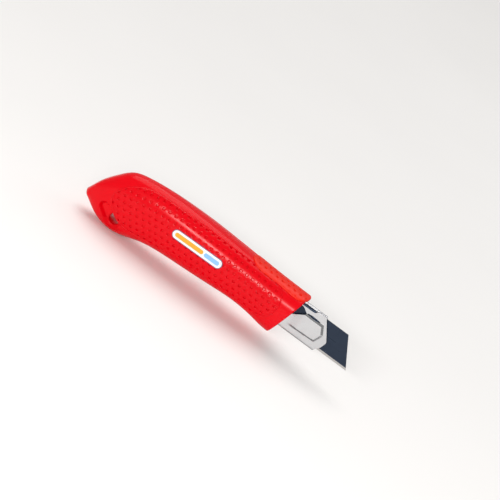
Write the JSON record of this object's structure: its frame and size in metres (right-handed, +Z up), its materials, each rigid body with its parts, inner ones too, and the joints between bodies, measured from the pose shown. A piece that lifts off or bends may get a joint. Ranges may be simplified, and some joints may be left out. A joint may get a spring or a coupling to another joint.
{
  "type": "utility knife",
  "caption": "Snap-off utility knife with a moulded handle, soft dimpled grips, a steel blade holder and a toothed thumb slider lock.",
  "frame": {"origin": "centre of the blade's mouth: the front of the steel holder, half way up the blade, in the blade's middle plane", "axes": "+X is the way the blade travels out, +Z is up from the belly of the handle to its spine, +Y is the slider side"},
  "size_m": [0.1749, 0.0305, 0.0394],
  "materials": {
    "shell_red": "satin gloss",
    "grip_red": "soft matte",
    "badge": "printed film",
    "black_plastic": "moulded",
    "holder_steel": "stamped stainless",
    "blade_steel": "blackened, bright ground edge",
    "spring_steel": "rolled",
    "screw_steel": "zinc plated"
  },
  "bodies": {
    "handle": {"handle_label_side": "shell_red", "handle_slider_side": "shell_red", "grip_panel_label_side": "grip_red", "grip_panel_slider_side": "grip_red", "thumb_rest": "grip_red", "badge_plate": "badge", "nose_bush": "black_plastic", "blade_holder": "holder_steel", "holder_pin": "screw_steel", "slide_track": "black_plastic", "case_screws": "screw_steel"},
    "carriage": {"blade_carrier": "black_plastic", "blade_hook": "spring_steel", "blade": "blade_steel", "lock_spring": "spring_steel"},
    "lock_button": {"slider_knob": "black_plastic", "knob_pad": "grip_red", "lock_pawl": "black_plastic"}
  },
  "joints": [
    {"name": "blade_slide", "type": "slide", "parent": "handle", "child": "carriage", "axis": [1, 0, 0], "range_m": [-0.025, 0.035]},
    {"name": "lock_press", "type": "slide", "parent": "carriage", "child": "lock_button", "axis": [0, -1, 0], "range_m": [0, 0.0012], "stiffness_N_per_m": 600, "springref_m": -0.0015, "deforming": ["lock_spring"]}
  ]
}
